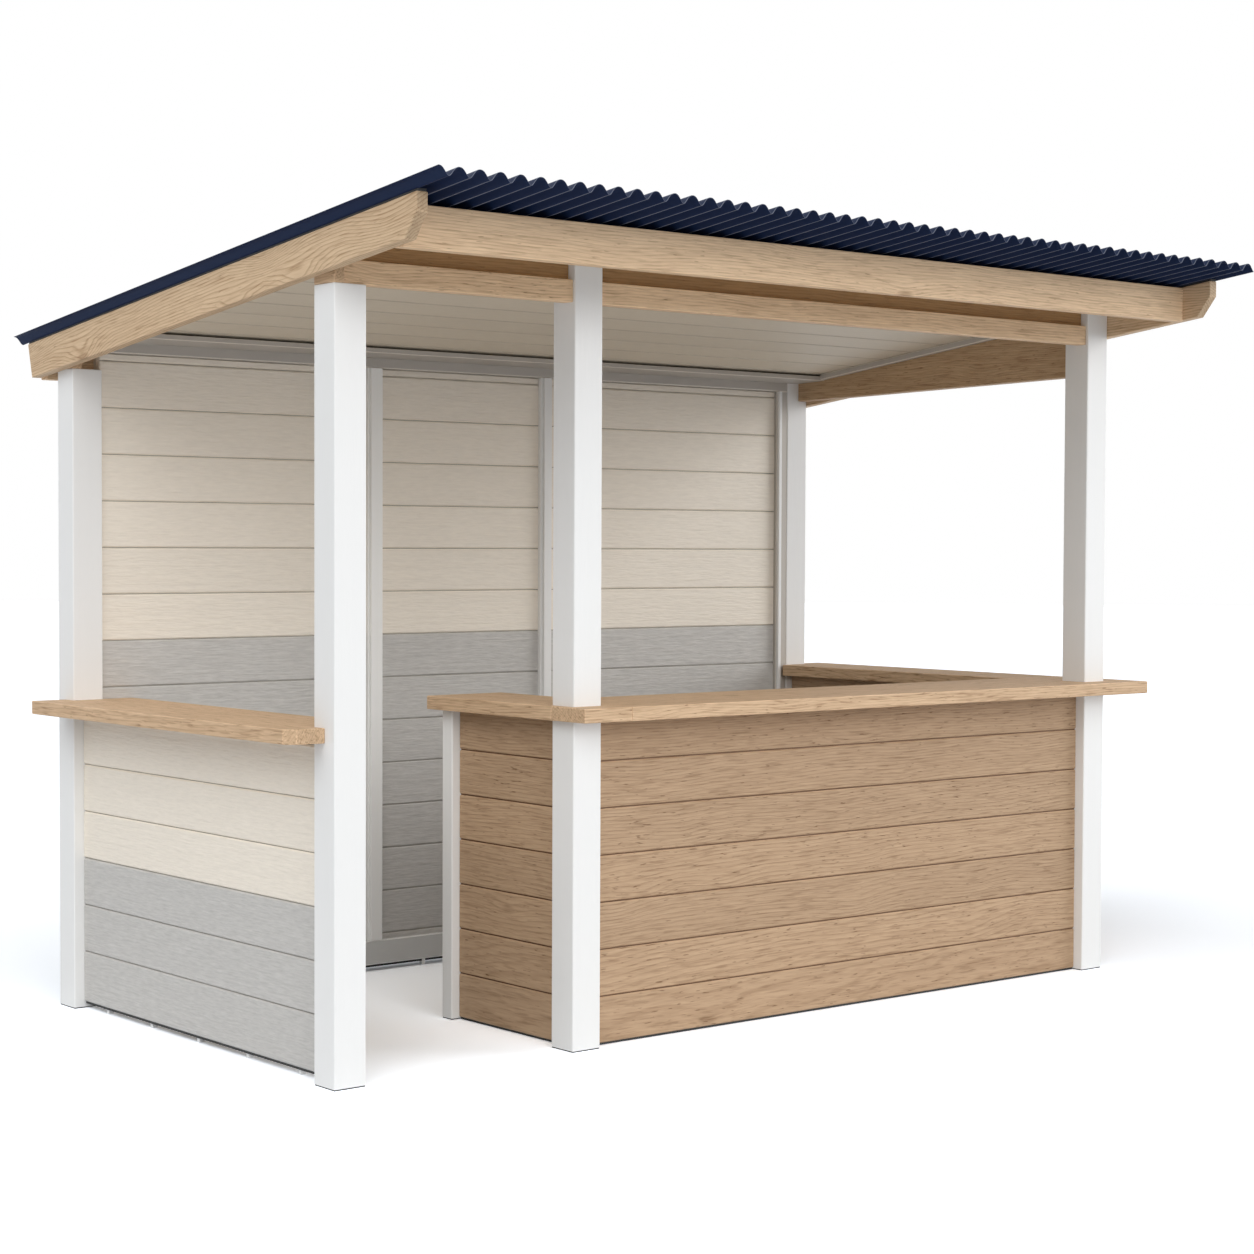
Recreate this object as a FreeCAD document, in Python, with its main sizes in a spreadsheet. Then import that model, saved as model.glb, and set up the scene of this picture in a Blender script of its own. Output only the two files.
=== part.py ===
import FreeCAD, Part
import math
import os
import Sketcher

# Outdoor garden bar: five roof posts, a half wall with a shelf, a U-shaped bar counter,
# a clad back wall and a single-pitch corrugated roof. X runs along the front, Y to the back,
# and lengths are measured from the outer corner of the front left post.
os.makedirs("parts", exist_ok=True)
doc = FreeCAD.newDocument("GardenBar")

sheet = doc.addObject("Spreadsheet::Sheet", "Sizes")


class Size:
    """A length that keeps its value together with the formula that gives it."""

    def __init__(self, value, text):
        self.value = value
        self.text = text

    def __add__(self, other):
        other = asSize(other)
        return Size(self.value + other.value, "(%s + %s)" % (self.text, other.text))

    def __sub__(self, other):
        other = asSize(other)
        return Size(self.value - other.value, "(%s - %s)" % (self.text, other.text))

    def __mul__(self, other):
        other = asSize(other)
        return Size(self.value * other.value, "(%s * %s)" % (self.text, other.text))

    def __truediv__(self, other):
        other = asSize(other)
        return Size(self.value / other.value, "(%s / %s)" % (self.text, other.text))

    def __neg__(self):
        return Size(-self.value, "(-%s)" % self.text)


def asSize(item):
    if isinstance(item, Size):
        return item
    return Size(float(item), "%g" % item)


def size(alias, value):
    """Writes one driving dimension in the sheet and returns it for use in formulas."""
    size.row += 1
    sheet.set("A%d" % size.row, alias)
    sheet.set("B%d" % size.row, "%g" % value)
    sheet.setAlias("B%d" % size.row, alias)
    return Size(float(value), "Sizes." + alias)


size.row = 0

# Posts and their spacing
postSize = size("postSize", 110)
frameWidth = size("frameWidth", 3420)
frameDepth = size("frameDepth", 1740)
entryWidth = size("entryWidth", 770)

# Roof
roofSlope = size("roofSlope", 0.117)
deckHeight = size("deckHeight", 2481)
deckThick = size("deckThick", 21)
bargeDrop = size("bargeDrop", 106)
bargeThick = size("bargeThick", 38)
bargeFront = size("bargeFront", 469)
bargeRear = size("bargeRear", 148)
noseHeight = size("noseHeight", 62)
noseRun = size("noseRun", 56)
tailRun = size("tailRun", 30)
fasciaFront = size("fasciaFront", 350)
fasciaRear = size("fasciaRear", 80)
fasciaThick = size("fasciaThick", 45)
fasciaDepth = size("fasciaDepth", 122)
fasciaDrop = size("fasciaDrop", 10)
sheetFront = size("sheetFront", 611)
sheetRear = size("sheetRear", 200)
sheetSide = size("sheetSide", 65)
wavePitch = size("wavePitch", 69)
waveHeight = size("waveHeight", 28)
sheetThick = size("sheetThick", 2)

# Beams between and over the posts, with the heights that they take up under the deck
frontHead = size("frontHead", 139)
rearHead = size("rearHead", 97)
gableFront = size("gableFront", 236)
gableRear = size("gableRear", 88)
bandDepth = size("bandDepth", 48)
beamDepth = size("beamDepth", 70)
beamThick = size("beamThick", 45)
beamSetback = size("beamSetback", 10)
plateSetback = size("plateSetback", 33)
sideBeamThick = size("sideBeamThick", 35)
sideBeamRise = size("sideBeamRise", 15)
gableThick = size("gableThick", 50)
trimWidth = size("trimWidth", 25)

# Counter
counterHeight = size("counterHeight", 1085)
topThick = size("topThick", 45)
counterFront = size("counterFront", 100)
counterInner = size("counterInner", 350)
returnOverhang = size("returnOverhang", 35)
returnLength = size("returnLength", 750)
returnWidth = size("returnWidth", 310)
rightOverhang = size("rightOverhang", 135)
rightLip = size("rightLip", 30)
cornerRight = size("cornerRight", 45)
cornerDepth = size("cornerDepth", 70)
endPostSize = size("endPostSize", 70)
endPostDepth = size("endPostDepth", 56)
endPostInset = size("endPostInset", 15)
endLip = size("endLip", 20)
panelThick = size("panelThick", 40)
panelRecess = size("panelRecess", 38)
panelGround = size("panelGround", 8)

# Half wall and shelf
wallRecess = size("wallRecess", 36)
wallGround = size("wallGround", 24)
shelfHeight = size("shelfHeight", 1055)
shelfOut = size("shelfOut", 125)
shelfIn = size("shelfIn", 235)
shelfEnd = size("shelfEnd", 50)
shelfClip = size("shelfClip", 30)
entryClip = size("entryClip", 90)

# Back wall
backRecess = size("backRecess", 20)
backThick = size("backThick", 54)
battenWidth = size("battenWidth", 62)
battenProud = size("battenProud", 30)
leftBay = size("leftBay", 1110)
middleBay = size("middleBay", 798)
railHeight = size("railHeight", 91)
railProud = size("railProud", 25)
ledgeProud = size("ledgeProud", 160)
ledgeThick = size("ledgeThick", 24)
ledgeGap = size("ledgeGap", 3)

doc.recompute()

# The origin stands at the middle of the footprint of the whole part
originX = (frameWidth + rightOverhang - shelfOut) / 2
originY = (frameDepth + sheetRear - sheetFront) / 2

zero = asSize(0)

# Places along X
middleLeft = postSize + entryWidth
middleRight = middleLeft + postSize
rightPost = frameWidth - postSize
gableInner = frameWidth - gableThick
counterEnd = frameWidth + rightOverhang
returnOuter = middleLeft - returnOverhang
returnInner = returnOuter + returnWidth
cornerEdge = middleRight + cornerRight
endPostLeft = middleLeft + endPostInset
endPostRight = endPostLeft + endPostSize
rightTopInner = rightPost - rightLip
firstSeam = postSize + leftBay
secondSeam = firstSeam + middleBay

# Places along Y
rearPost = frameDepth - postSize
wallFace = rearPost + backRecess
wallRear = wallFace + backThick
beamFace = frameDepth - beamThick
battenFace = wallFace - battenProud
railFace = wallFace - railProud
ledgeFace = rearPost - ledgeProud
endPostRear = returnLength - endLip
endPostFace = endPostRear - endPostDepth
shelfRear = frameDepth - shelfEnd
deckFront = fasciaThick - fasciaFront
deckRear = frameDepth + fasciaRear
panelFace = panelRecess
panelRear = panelRecess + panelThick


def deckUnder(depth):
    """Underside of the roof deck at a depth behind the front of the posts."""
    return deckHeight - roofSlope * depth


def deckUpper(depth):
    return deckUnder(depth) + deckThick


def bargeUnder(depth):
    return deckUnder(depth) - bargeDrop


# Heights
counterUnder = counterHeight - topThick
shelfUnder = shelfHeight - topThick
railTop = wallGround + railHeight
beamSeat = deckUnder(zero) - frontHead
beamTop = beamSeat + beamDepth
rearSeat = deckUnder(frameDepth) - rearHead
bandBottom = deckUnder(wallFace) - bandDepth


def bind(item, name, length):
    item.setExpression(name, length.text)


def place(item, x, y, z):
    bind(item, "Placement.Base.x", x - originX)
    bind(item, "Placement.Base.y", y - originY)
    bind(item, "Placement.Base.z", z)


def block(label, x, y, z):
    """Square-edged piece from three pairs of faces."""
    item = doc.addObject("Part::Box", label)
    bind(item, "Length", x[1] - x[0])
    bind(item, "Width", y[1] - y[0])
    bind(item, "Height", z[1] - z[0])
    place(item, x[0], y[0], z[0])
    return item


def sloped(label, x, y, lower, upper):
    """Piece between two side and two end faces, whose lower and upper faces may fall to the rear."""
    item = doc.addObject("Part::Wedge", label)
    faces = {
        "Xmin": x[0], "Xmax": x[1], "X2min": x[0], "X2max": x[1],
        "Ymin": y[0], "Ymax": y[1],
        "Zmin": lower[0], "Z2min": lower[1], "Zmax": upper[0], "Z2max": upper[1],
    }
    for name, length in faces.items():
        bind(item, name, length)
    place(item, zero, zero, zero)
    return item


def outline(label, role, corners, thickness, x, z):
    """Closed outline on the ground plane or on the side plane, padded square to it."""
    body = doc.addObject("PartDesign::Body", label)
    sketch = body.newObject("Sketcher::SketchObject", label + "Outline")
    support = [plane for plane in body.Origin.OriginFeatures if plane.Role == role][0]
    sketch.AttachmentSupport = [(support, "")]
    sketch.MapMode = "FlatFace"
    points = [FreeCAD.Vector(first.value, second.value, 0) for first, second in corners]
    count = len(points)
    for index in range(count):
        sketch.addGeometry(Part.LineSegment(points[index], points[(index + 1) % count]), False)
    for index in range(count):
        sketch.addConstraint(Sketcher.Constraint("Coincident", index, 2, (index + 1) % count, 1))
    for index, corner in enumerate(corners):
        for kind, length in zip(("DistanceX", "DistanceY"), corner):
            if length is zero:
                axis = -2 if kind == "DistanceX" else -1
                sketch.addConstraint(Sketcher.Constraint("PointOnObject", index, 1, axis))
                continue
            constraint = Sketcher.Constraint(kind, -1, 1, index, 1, length.value)
            row = sketch.addConstraint(constraint)
            sketch.setExpression("Constraints[%d]" % row, length.text)
    pad = body.newObject("PartDesign::Pad", label + "Pad")
    pad.Profile = sketch
    bind(pad, "Length", thickness)
    body.Tip = pad
    place(body, x, zero, z)
    return body


pieces = []


def keep(item):
    pieces.append(item)
    return item


# Posts: the left pair carries the side beam, the others run up to the roof deck
keep(block("front_left_post", (zero, postSize), (zero, postSize), (zero, beamSeat)))
keep(block("back_left_post", (zero, postSize), (rearPost, frameDepth), (zero, rearSeat)))


def tallPost(label, left, front):
    rear = front + postSize
    upper = (deckUnder(front), deckUnder(rear))
    return keep(sloped(label, (left, left + postSize), (front, rear), (zero, zero), upper))


tallPost("front_middle_post", middleLeft, zero)
tallPost("front_right_post", rightPost, zero)
tallPost("back_right_post", rightPost, rearPost)
keep(block("counter_end_post", (endPostLeft, endPostRight), (endPostFace, endPostRear),
           (zero, counterUnder)))

# Half wall between the left posts and its shelf, which fits round both posts
keep(block("left_half_wall", (wallRecess, wallRecess + panelThick), (postSize, rearPost),
           (wallGround, shelfUnder)))
shelfCorners = [
    (shelfClip - shelfOut, shelfEnd), (zero, shelfEnd), (zero, postSize), (postSize, postSize),
    (shelfIn, postSize + entryClip), (shelfIn, wallFace), (postSize, wallFace), (postSize, rearPost), (zero, rearPost),
    (zero, shelfRear), (-shelfOut, shelfRear), (-shelfOut, shelfEnd + shelfClip),
]
keep(outline("left_wall_shelf", "XY_Plane", shelfCorners, topThick, zero, shelfUnder))

# Back wall: three clad bays, battens over the seams, bottom rail, header, band and ledge
bays = {
    "back_wall_left_bay": (postSize, firstSeam),
    "back_wall_middle_bay": (firstSeam, secondSeam),
    "back_wall_right_bay": (secondSeam, rightPost),
}
for label, span in bays.items():
    keep(block(label, span, (wallFace, wallRear), (wallGround, rearSeat)))
battens = {
    "back_wall_left_batten": firstSeam - battenWidth / 2,
    "back_wall_right_batten": secondSeam - battenWidth / 2,
    "back_wall_end_batten": rightPost - battenWidth,
}
for label, left in battens.items():
    keep(block(label, (left, left + battenWidth), (battenFace, wallFace), (railTop, bandBottom)))
keep(block("back_wall_bottom_rail", (postSize, rightPost), (railFace, wallFace),
           (wallGround, railTop)))
keep(sloped("back_wall_header", (postSize, rightPost), (wallFace, beamFace),
            (rearSeat, rearSeat), (deckUnder(wallFace), deckUnder(beamFace))))
keep(sloped("back_wall_band", (postSize, rightPost), (rearPost, wallFace),
            (bandBottom, bandBottom), (deckUnder(rearPost), deckUnder(wallFace))))
ledgeTop = deckUnder(ledgeFace) - ledgeGap
ledgeUnder = ledgeTop - ledgeThick
keep(sloped("back_wall_ledge", (postSize, gableInner), (ledgeFace, rearPost),
            (ledgeUnder, ledgeUnder), (ledgeTop, deckUnder(rearPost) - ledgeGap)))

# Counter walls between the posts
keep(block("front_counter_panel", (middleRight, rightPost), (panelFace, panelRear),
           (panelGround, counterUnder)))
keep(block("left_return_panel", (endPostRight - panelThick, endPostRight),
           (postSize, endPostFace), (panelGround, counterUnder)))
rightPanelOuter = frameWidth - panelRecess
keep(block("right_side_panel", (rightPanelOuter - panelThick, rightPanelOuter),
           (postSize, rearPost), (panelGround, counterUnder)))

# Counter tops, each fitted round the posts that pass through it
cornerBlock = [
    (returnOuter, -counterFront), (cornerEdge, -counterFront), (cornerEdge, cornerDepth),
    (middleRight, cornerDepth), (middleRight, zero), (middleLeft, zero),
    (middleLeft, cornerDepth), (returnOuter, cornerDepth),
]
keep(outline("counter_corner_top", "XY_Plane", cornerBlock, topThick, zero, counterUnder))
returnTop = [
    (returnOuter, cornerDepth), (middleLeft, cornerDepth), (middleLeft, postSize),
    (middleRight, postSize), (middleRight, cornerDepth), (cornerEdge, cornerDepth),
    (cornerEdge, counterInner), (returnInner, counterInner), (returnInner, returnLength),
    (returnOuter, returnLength),
]
keep(outline("left_return_top", "XY_Plane", returnTop, topThick, zero, counterUnder))
frontBoard = block("frontBoard", (cornerEdge, counterEnd), (-counterFront, counterInner),
                   (counterUnder, counterHeight))
postHole = block("postHole", (rightPost, frameWidth), (zero, postSize),
                 (counterUnder, counterHeight))
frontTop = doc.addObject("Part::Cut", "front_counter_top")
frontTop.Base = frontBoard
frontTop.Tool = postHole
keep(frontTop)
rightTop = [
    (rightTopInner, counterInner), (counterEnd, counterInner), (counterEnd, shelfRear),
    (frameWidth, shelfRear), (frameWidth, rearPost), (rightPost, rearPost),
    (rightPost, battenFace), (rightTopInner, battenFace),
]
keep(outline("right_side_top", "XY_Plane", rightTop, topThick, zero, counterUnder))

# Beams: a lower beam and a set-back plate along the front, a side beam on the left,
# a deep gable board on the right and a beam over the back wall
beamSpans = {
    "left": (sideBeamThick, middleLeft),
    "right": (middleRight, rightPost),
}
beamRear = beamSetback + beamThick
plateRear = plateSetback + beamThick
for side, span in beamSpans.items():
    keep(block("front_beam_" + side, span, (beamSetback, beamRear), (beamSeat, beamTop)))
    keep(sloped("front_plate_" + side, span, (plateSetback, plateRear), (beamTop, beamTop),
                (deckUnder(plateSetback), deckUnder(plateRear))))
sideBeam = [
    (zero, beamSeat), (postSize, beamSeat), (postSize, bargeUnder(postSize) + sideBeamRise),
    (rearPost, bargeUnder(rearPost) + sideBeamRise), (rearPost, rearSeat), (frameDepth, rearSeat),
    (frameDepth, deckUnder(frameDepth)), (zero, deckUnder(zero)),
]
keep(outline("left_side_beam", "YZ_Plane", sideBeam, sideBeamThick, zero, zero))
keep(sloped("right_gable_board", (gableInner, frameWidth), (postSize, rearPost),
            (deckUnder(postSize) - gableFront, deckUnder(rearPost) - gableRear),
            (deckUnder(postSize), deckUnder(rearPost))))
keep(sloped("back_beam", (sideBeamThick, rightPost), (beamFace, frameDepth),
            (rearSeat, rearSeat), (deckUnder(beamFace), deckUnder(frameDepth))))
keep(sloped("ceiling_edge_trim", (gableInner - trimWidth, gableInner), (postSize, ledgeFace),
            (deckUnder(postSize) - trimWidth, deckUnder(ledgeFace) - trimWidth),
            (deckUnder(postSize), deckUnder(ledgeFace))))

# Roof deck, fascia boards across its ends and barge boards along its sides
keep(sloped("roof_deck", (zero, frameWidth), (deckFront, deckRear),
            (deckUnder(deckFront), deckUnder(deckRear)),
            (deckUpper(deckFront), deckUpper(deckRear))))
frontFasciaTop = deckUpper(-fasciaFront) - fasciaDrop
rearFasciaTop = deckUpper(deckRear + fasciaThick) - fasciaDrop
keep(block("front_fascia", (zero, frameWidth), (-fasciaFront, deckFront),
           (frontFasciaTop - fasciaDepth, frontFasciaTop)))
keep(block("back_fascia", (zero, frameWidth), (deckRear, deckRear + fasciaThick),
           (rearFasciaTop - fasciaDepth, rearFasciaTop)))
noseEnd = -bargeFront
tailEnd = frameDepth + bargeRear
noseFoot = noseRun - bargeFront
tailFoot = tailEnd - tailRun
bargeCorners = [
    (noseFoot, bargeUnder(noseFoot)), (tailFoot, bargeUnder(tailFoot)),
    (tailEnd, deckUpper(tailEnd)), (noseEnd, deckUpper(noseEnd)),
    (noseEnd, deckUpper(noseEnd) - noseHeight),
]
keep(outline("left_barge_board", "YZ_Plane", bargeCorners, bargeThick, -bargeThick, zero))
keep(outline("right_barge_board", "YZ_Plane", bargeCorners, bargeThick, frameWidth, zero))


def waveEdges(offset, halves, half, radius, reach, centres):
    """Arcs of one face of the corrugated sheet, from the crest at its left to its right edge."""
    edges = []
    for index in range(halves + 1):
        crest = index % 2 == 0
        turn = 1 if crest else -1
        bend = radius + turn * offset
        middle = FreeCAD.Vector(index * half, 0, centres[index % 2])
        first = 0 if index == 0 else -reach
        last = 0 if index == halves else reach
        points = []
        for angle in (first, (first + last) / 2, last):
            points.append(middle + FreeCAD.Vector(bend * math.sin(angle), 0,
                                                  turn * bend * math.cos(angle)))
        edges.append(Part.Arc(*points).toShape())
    return edges


def roofSheet():
    """Corrugated sheet whose waves run down the slope and whose valleys lie on the deck.

    It ends on a crest at the left and turned down into a valley at the right."""
    thick = sheetThick.value
    width = frameWidth.value + 2 * sheetSide.value
    halves = 2 * max(2, round(width / wavePitch.value - 0.5)) + 1
    half = width / halves
    sag = (waveHeight.value - thick) / 2
    radius = half * half / (8 * sag) + sag / 2
    reach = math.asin(half / 2 / radius)
    mean = thick / 2 + sag
    centres = (mean + sag - radius, mean - sag + radius)
    upper = waveEdges(thick / 2, halves, half, radius, reach, centres)
    lower = waveEdges(-thick / 2, halves, half, radius, reach, centres)
    ends = []
    for side in (0, -1):
        tip = 0 if side == 0 else 1
        ends.append(Part.LineSegment(lower[side].Vertexes[tip].Point,
                                     upper[side].Vertexes[tip].Point).toShape())
    section = Part.Wire(Part.__sortEdges__(upper + lower + ends))
    run = sheetFront.value + frameDepth.value + sheetRear.value
    return Part.Face(section).extrude(FreeCAD.Vector(0, run, -run * roofSlope.value))


roof = doc.addObject("Part::Feature", "roof_sheet")
roof.Shape = roofSheet()
roofCorner = FreeCAD.Vector((-sheetSide - originX).value, (-sheetFront - originY).value,
                            deckUpper(-sheetFront).value)
roof.Placement = FreeCAD.Placement(roofCorner, FreeCAD.Rotation())
keep(roof)

doc.recompute()
for item in doc.Objects:
    if "Invalid" in item.State or "Error" in item.State:
        raise RuntimeError("feature failed: " + item.Label)
for item in pieces:
    if item.Shape.isNull() or not item.Shape.isValid():
        raise RuntimeError("bad shape: " + item.Label)
for item in pieces:
    item.Shape.exportStep("parts/" + item.Label + ".step")
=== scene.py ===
import math
import random
import bpy
import bmesh
from mathutils import Matrix, Vector


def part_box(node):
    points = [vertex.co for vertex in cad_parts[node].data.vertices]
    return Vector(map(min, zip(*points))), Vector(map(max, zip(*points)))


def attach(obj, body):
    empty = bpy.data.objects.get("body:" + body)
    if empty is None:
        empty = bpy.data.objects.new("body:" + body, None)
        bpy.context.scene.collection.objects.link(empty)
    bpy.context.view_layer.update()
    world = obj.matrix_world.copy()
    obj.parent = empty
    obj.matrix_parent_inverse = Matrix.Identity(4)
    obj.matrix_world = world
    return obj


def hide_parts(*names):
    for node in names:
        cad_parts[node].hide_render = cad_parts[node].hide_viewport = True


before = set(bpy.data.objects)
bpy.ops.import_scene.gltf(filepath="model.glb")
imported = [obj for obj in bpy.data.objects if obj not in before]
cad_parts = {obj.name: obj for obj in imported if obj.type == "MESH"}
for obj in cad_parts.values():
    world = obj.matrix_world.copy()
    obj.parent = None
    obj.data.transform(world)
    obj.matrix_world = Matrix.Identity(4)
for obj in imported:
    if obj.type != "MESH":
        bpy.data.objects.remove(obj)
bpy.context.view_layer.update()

print("garden bar: frame loaded,", len(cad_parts), "nodes")

# The roof's fall to the rear, read from the tops of a front and a back post
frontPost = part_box("front_middle_post")
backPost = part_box("back_right_post")
roofSlope = (frontPost[1].z - backPost[1].z) / (backPost[0].y - frontPost[0].y)
roofAngle = math.atan(roofSlope)


class Wire:
    # one output socket that can be used in sums like a number
    def __init__(self, tree, socket):
        self.tree = tree
        self.socket = socket

    def maths(self, operation, *others, swapped=False):
        node = self.tree.nodes.new("ShaderNodeMath")
        node.operation = operation
        items = [self, *others]
        if swapped:
            items.reverse()
        for place, item in zip(node.inputs, items):
            if isinstance(item, Wire):
                self.tree.links.new(item.socket, place)
            else:
                place.default_value = item
        return Wire(self.tree, node.outputs[0])

    def __add__(self, other):
        return self.maths("ADD", other)

    def __radd__(self, other):
        return self.maths("ADD", other, swapped=True)

    def __sub__(self, other):
        return self.maths("SUBTRACT", other)

    def __rsub__(self, other):
        return self.maths("SUBTRACT", other, swapped=True)

    def __mul__(self, other):
        return self.maths("MULTIPLY", other)

    def __rmul__(self, other):
        return self.maths("MULTIPLY", other, swapped=True)

    def __truediv__(self, other):
        return self.maths("DIVIDE", other)

    def __pow__(self, other):
        return self.maths("POWER", other)

    def clamped(self):
        return self.maths("MAXIMUM", 0.0).maths("MINIMUM", 1.0)


class Finish:
    # the nodes of a material or of the world, and the few ways in which this scene adds to them
    def __init__(self, owner):
        self.owner = owner
        owner.use_nodes = True
        self.tree = owner.node_tree
        self.tree.nodes.clear()

    def node(self, kind, settings=None, values=None, output=0):
        made = self.tree.nodes.new(kind)
        for name, value in (settings or {}).items():
            if name == "stops":
                ramp = made.color_ramp
                while len(ramp.elements) < len(value):
                    ramp.elements.new(0.5)
                for stop, (position, level) in zip(ramp.elements, value):
                    stop.position = position
                    stop.color = (level, level, level, 1)
            else:
                setattr(made, name, value)
        for name, value in (values or {}).items():
            if isinstance(value, Wire):
                self.tree.links.new(value.socket, made.inputs[name])
            else:
                made.inputs[name].default_value = value
        return Wire(self.tree, made.outputs[output]) if made.outputs else None

    def place(self, turn):
        # object coordinates turned so that the grain runs along X, moved by each board's own shift
        here = self.node("ShaderNodeTexCoord", output="Object")
        turned = self.node("ShaderNodeMapping", values={"Vector": here, "Rotation": turn})
        own = self.node("ShaderNodeAttribute", {"attribute_name": "boardShift"}, output="Vector")
        return self.vector("ADD", turned, own)

    def vector(self, operation, first, second):
        return self.node("ShaderNodeVectorMath", {"operation": operation}, {0: first, 1: second})

    def split(self, vector):
        first = self.node("ShaderNodeSeparateXYZ", values={0: vector})
        return [Wire(self.tree, out) for out in first.socket.node.outputs]

    def bend(self, here, amount):
        # moves the grain sideways and into the board
        aside = self.node("ShaderNodeCombineXYZ", values={"Y": amount, "Z": amount})
        return self.vector("ADD", here, aside)

    def noise(self, vector, stretch, detail, roughness):
        # runs from about -0.5 to 0.5
        scaled = self.vector("MULTIPLY", vector, stretch)
        return self.node("ShaderNodeTexNoise", values={
            "Vector": scaled, "Scale": 1.0, "Detail": detail, "Roughness": roughness}) - 0.5

    def attribute(self, name):
        return self.node("ShaderNodeAttribute", {"attribute_name": name}, output="Fac")

    def ramp(self, value, stops):
        return self.node("ShaderNodeValToRGB", {"stops": stops}, {"Fac": value})

    def mix(self, amount, first, second):
        # either end may be a written colour or a link
        ends = [(*end, 1) if isinstance(end, tuple) else end for end in (first, second)]
        return self.node("ShaderNodeMix", {"data_type": "RGBA"},
                         {0: amount, 6: ends[0], 7: ends[1]}, output=2)

    def shade(self, colour, level):
        # the colour made lighter or darker by a level around 1
        return self.node("ShaderNodeVectorMath", {"operation": "SCALE"},
                         {0: colour, "Scale": level})

    def coat(self, colour, roughness, height, relief, specular):
        normal = self.node("ShaderNodeBump", values={
            "Height": height, "Distance": relief, "Strength": 1.0})
        shader = self.node("ShaderNodeBsdfPrincipled", values={
            "Base Color": colour, "Roughness": roughness, "Normal": normal,
            "Specular IOR Level": specular}, output="BSDF")
        self.node("ShaderNodeOutputMaterial", values={"Surface": shader})
        return self.owner


# How far a finish is turned, so that its grain runs along X in its own coordinates
alongX = (0, 0, 0)
alongY = (0, 0, math.radians(-90))
alongZ = (0, math.radians(90), 0)
downSlope = (roofAngle, 0, math.radians(-90))

# Oak: each noise has its stretch along, across and into a board, then its detail and roughness
oakGrain = {
    "sway": ((0.7, 1.5, 1.5), 2, 0.5),
    "dive": ((1.6, 1.2, 1.2), 1, 0.5),
    "ripple": ((4, 22, 22), 3, 0.5),
    "drift": ((5, 14, 14), 2, 0.5),
    "fibre": ((8, 130, 130), 2, 0.6),
    "streak": ((2, 55, 55), 3, 0.6),
    "pores": ((11, 165, 165), 1, 0.5),
    "flecks": ((26, 210, 210), 1, 0.4),
    "cloud": ((1.1, 5, 5), 3, 0.5),
    "knots": (2.1, 5.5, 5.5),
    "knotFieldStops": ((0.0, 1.0), (0.3, 0.25), (0.5, 0.0)),
    "knotCoreStops": ((0.0, 1.0), (0.05, 0.8), (0.1, 0.0)),
    "ringStops": ((0.0, 0.0), (0.55, 0.12), (0.85, 1.0), (1.0, 0.0)),
    "poreStops": ((0.55, 0.0), (0.68, 1.0)),
    "fleckStops": ((0.7, 0.0), (0.76, 1.0)),
    "ringRough": 0.08, "wornShine": 0.1,
    "fibreRise": 0.6, "streakRise": 0.5, "fleckSink": 0.5, "ringSink": 0.3, "knotSink": 0.4,
    "specular": 0.3,
}


def oak(name, look):
    # growth rings round a pith that lies beside the piece, bent by sway and knots
    made = Finish(bpy.data.materials.new(name))
    grain = oakGrain
    here = made.place(look["turn"])
    length, across, deep = made.split(here)
    sway = made.noise(here, *grain["sway"])
    dive = made.noise(here, *grain["dive"])
    ripple = made.noise(here, *grain["ripple"])
    knotPlace = made.vector("MULTIPLY", here, grain["knots"])
    knotNear = made.node("ShaderNodeTexVoronoi", values={"Vector": knotPlace, "Scale": 1.0},
                         output="Distance")
    knotField = made.ramp(knotNear, grain["knotFieldStops"])
    knotCore = made.ramp(knotNear, grain["knotCoreStops"])
    pithAcross = across + length * look["tilt"] + sway * look["sway"]
    pithDeep = deep + look["pith"] + dive * look["dive"] + knotField * look["knotPull"]
    radius = (pithAcross * pithAcross + pithDeep * pithDeep) ** 0.5
    rings = (radius / look["ringPitch"] + ripple * look["ripple"]).maths("FRACT")
    line = made.ramp(rings, grain["ringStops"])
    # the fine grain drifts with the coordinates and swings round the knots
    bent = made.bend(here, (made.noise(here, *grain["drift"]) + knotField) * look["drift"])
    fibre = made.noise(bent, *grain["fibre"])
    streak = made.noise(bent, *grain["streak"])
    pores = made.ramp(made.noise(bent, *grain["pores"]) + 0.5, grain["poreStops"])
    flecks = made.ramp(made.noise(here, *grain["flecks"]) + 0.5, grain["fleckStops"])
    cloud = made.noise(here, *grain["cloud"])
    tone = made.attribute("boardTone")
    wearAndPaintedLight = made.attribute("edgeWear")
    dark = (look["ground"] + line * look["ringDepth"] + knotCore * look["knotDepth"]
            + flecks * look["fleckDepth"] + pores * look["poreDepth"] - fibre * look["fibreDepth"]
            - streak * look["streakDepth"] - cloud * look["cloudDepth"]).clamped()
    wood = made.mix(dark, look["light"], look["dark"])
    # eased edges are lightened a little: partly wear, partly a painted highlight on the arrises
    level = 1.0 + tone * look["toneDepth"] + wearAndPaintedLight * look["edgeLift"]
    rough = look["rough"] + line * grain["ringRough"] - wearAndPaintedLight * grain["wornShine"]
    height = (fibre * grain["fibreRise"] + streak * grain["streakRise"]
              - flecks * grain["fleckSink"] - line * grain["ringSink"]
              - knotCore * grain["knotSink"])
    return made.coat(made.shade(wood, level), rough, height, look["relief"], grain["specular"])


# Paint: the brushed timber under it stands up as fine long ridges
paintGrain = {
    "sway": ((2.2, 9, 9), 2, 0.5),
    "streak": ((20, 150, 150), 2, 0.6),
    "ridge": ((7, 80, 80), 3, 0.55),
    "cloud": ((1.3, 3, 3), 3, 0.5),
    "bend": 0.012, "ridgeRough": 0.12, "wornShine": 0.06, "streakRise": 0.5, "specular": 0.4,
}


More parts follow.
